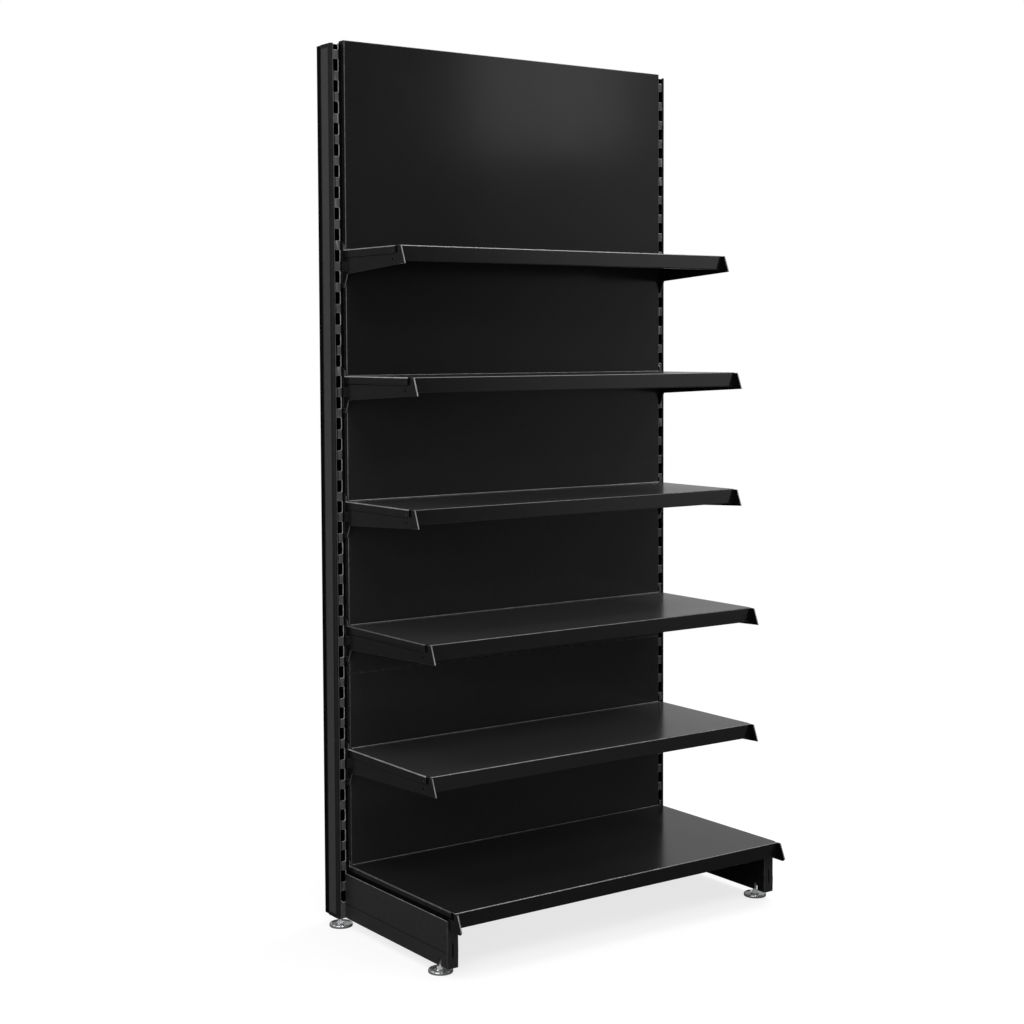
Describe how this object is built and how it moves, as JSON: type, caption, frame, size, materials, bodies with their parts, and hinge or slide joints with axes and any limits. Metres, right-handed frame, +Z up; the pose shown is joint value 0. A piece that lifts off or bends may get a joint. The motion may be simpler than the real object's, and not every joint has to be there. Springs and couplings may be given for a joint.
{
  "type": "retail shelving unit",
  "caption": "One-sided shop shelving bay: slotted uprights, back panels, trays on hooked brackets, a deeper base tray over legs, and screw feet.",
  "frame": {"origin": "on the floor, under the middle of the bay's outline", "axes": "+X to the right along the bay, +Y to the back, +Z up"},
  "size_m": [1.057, 0.571, 2.134],
  "materials": {
    "black_powder_coat": "satin powder coat",
    "bright_zinc": "bright zinc plate"
  },
  "bodies": {
    "frame": {"upright_left": "black_powder_coat", "upright_base_left": "black_powder_coat", "leg_left": "black_powder_coat", "leg_end_left": "black_powder_coat", "leg_bridge_left": "black_powder_coat", "foot_nut_front_left": "bright_zinc", "foot_nut_rear_left": "bright_zinc", "upright_right": "black_powder_coat", "upright_base_right": "black_powder_coat", "leg_right": "black_powder_coat", "leg_end_right": "black_powder_coat", "leg_bridge_right": "black_powder_coat", "foot_nut_front_right": "bright_zinc", "foot_nut_rear_right": "bright_zinc", "panel_lower": "black_powder_coat", "panel_middle": "black_powder_coat", "panel_upper": "black_powder_coat"},
    "foot_front_left": {"foot_disc_front_left": "bright_zinc", "foot_stud_front_left": "bright_zinc"},
    "foot_front_right": {"foot_disc_front_right": "bright_zinc", "foot_stud_front_right": "bright_zinc"},
    "foot_rear_left": {"foot_disc_rear_left": "bright_zinc", "foot_stud_rear_left": "bright_zinc"},
    "foot_rear_right": {"foot_disc_rear_right": "bright_zinc", "foot_stud_rear_right": "bright_zinc"},
    "base_brackets": {"base_bracket_left": "black_powder_coat", "base_bracket_right": "black_powder_coat"},
    "base_tray": {"base_tray": "black_powder_coat"},
    "shelf_1_brackets": {"shelf_1_bracket_left": "black_powder_coat", "shelf_1_bracket_right": "black_powder_coat"},
    "shelf_1_tray": {"shelf_1_tray": "black_powder_coat"},
    "shelf_2_brackets": {"shelf_2_bracket_left": "black_powder_coat", "shelf_2_bracket_right": "black_powder_coat"},
    "shelf_2_tray": {"shelf_2_tray": "black_powder_coat"},
    "shelf_3_brackets": {"shelf_3_bracket_left": "black_powder_coat", "shelf_3_bracket_right": "black_powder_coat"},
    "shelf_3_tray": {"shelf_3_tray": "black_powder_coat"},
    "shelf_4_brackets": {"shelf_4_bracket_left": "black_powder_coat", "shelf_4_bracket_right": "black_powder_coat"},
    "shelf_4_tray": {"shelf_4_tray": "black_powder_coat"},
    "shelf_5_brackets": {"shelf_5_bracket_left": "black_powder_coat", "shelf_5_bracket_right": "black_powder_coat"},
    "shelf_5_tray": {"shelf_5_tray": "black_powder_coat"}
  },
  "joints": [
    {"name": "foot_front_left_level", "type": "slide", "parent": "frame", "child": "foot_front_left", "axis": [0, 0, 1], "range_m": [-0.01, 0.006]},
    {"name": "foot_front_right_level", "type": "slide", "parent": "frame", "child": "foot_front_right", "axis": [0, 0, 1], "range_m": [-0.01, 0.006]},
    {"name": "foot_rear_left_level", "type": "slide", "parent": "frame", "child": "foot_rear_left", "axis": [0, 0, 1], "range_m": [-0.01, 0.006]},
    {"name": "foot_rear_right_level", "type": "slide", "parent": "frame", "child": "foot_rear_right", "axis": [0, 0, 1], "range_m": [-0.01, 0.006]},
    {"name": "base_brackets_lift", "type": "slide", "parent": "frame", "child": "base_brackets", "axis": [0, 0, 1], "range_m": [0, 0.009]},
    {"name": "base_tray_lift", "type": "slide", "parent": "base_brackets", "child": "base_tray", "axis": [0, 0, 1], "range_m": [0, 0.04]},
    {"name": "shelf_1_brackets_lift", "type": "slide", "parent": "frame", "child": "shelf_1_brackets", "axis": [0, 0, 1], "range_m": [0, 0.009]},
    {"name": "shelf_1_tray_lift", "type": "slide", "parent": "shelf_1_brackets", "child": "shelf_1_tray", "axis": [0, 0, 1], "range_m": [0, 0.04]},
    {"name": "shelf_2_brackets_lift", "type": "slide", "parent": "frame", "child": "shelf_2_brackets", "axis": [0, 0, 1], "range_m": [0, 0.009]},
    {"name": "shelf_2_tray_lift", "type": "slide", "parent": "shelf_2_brackets", "child": "shelf_2_tray", "axis": [0, 0, 1], "range_m": [0, 0.04]},
    {"name": "shelf_3_brackets_lift", "type": "slide", "parent": "frame", "child": "shelf_3_brackets", "axis": [0, 0, 1], "range_m": [0, 0.009]},
    {"name": "shelf_3_tray_lift", "type": "slide", "parent": "shelf_3_brackets", "child": "shelf_3_tray", "axis": [0, 0, 1], "range_m": [0, 0.04]},
    {"name": "shelf_4_brackets_lift", "type": "slide", "parent": "frame", "child": "shelf_4_brackets", "axis": [0, 0, 1], "range_m": [0, 0.009]},
    {"name": "shelf_4_tray_lift", "type": "slide", "parent": "shelf_4_brackets", "child": "shelf_4_tray", "axis": [0, 0, 1], "range_m": [0, 0.04]},
    {"name": "shelf_5_brackets_lift", "type": "slide", "parent": "frame", "child": "shelf_5_brackets", "axis": [0, 0, 1], "range_m": [0, 0.009]},
    {"name": "shelf_5_tray_lift", "type": "slide", "parent": "shelf_5_brackets", "child": "shelf_5_tray", "axis": [0, 0, 1], "range_m": [0, 0.04]}
  ]
}
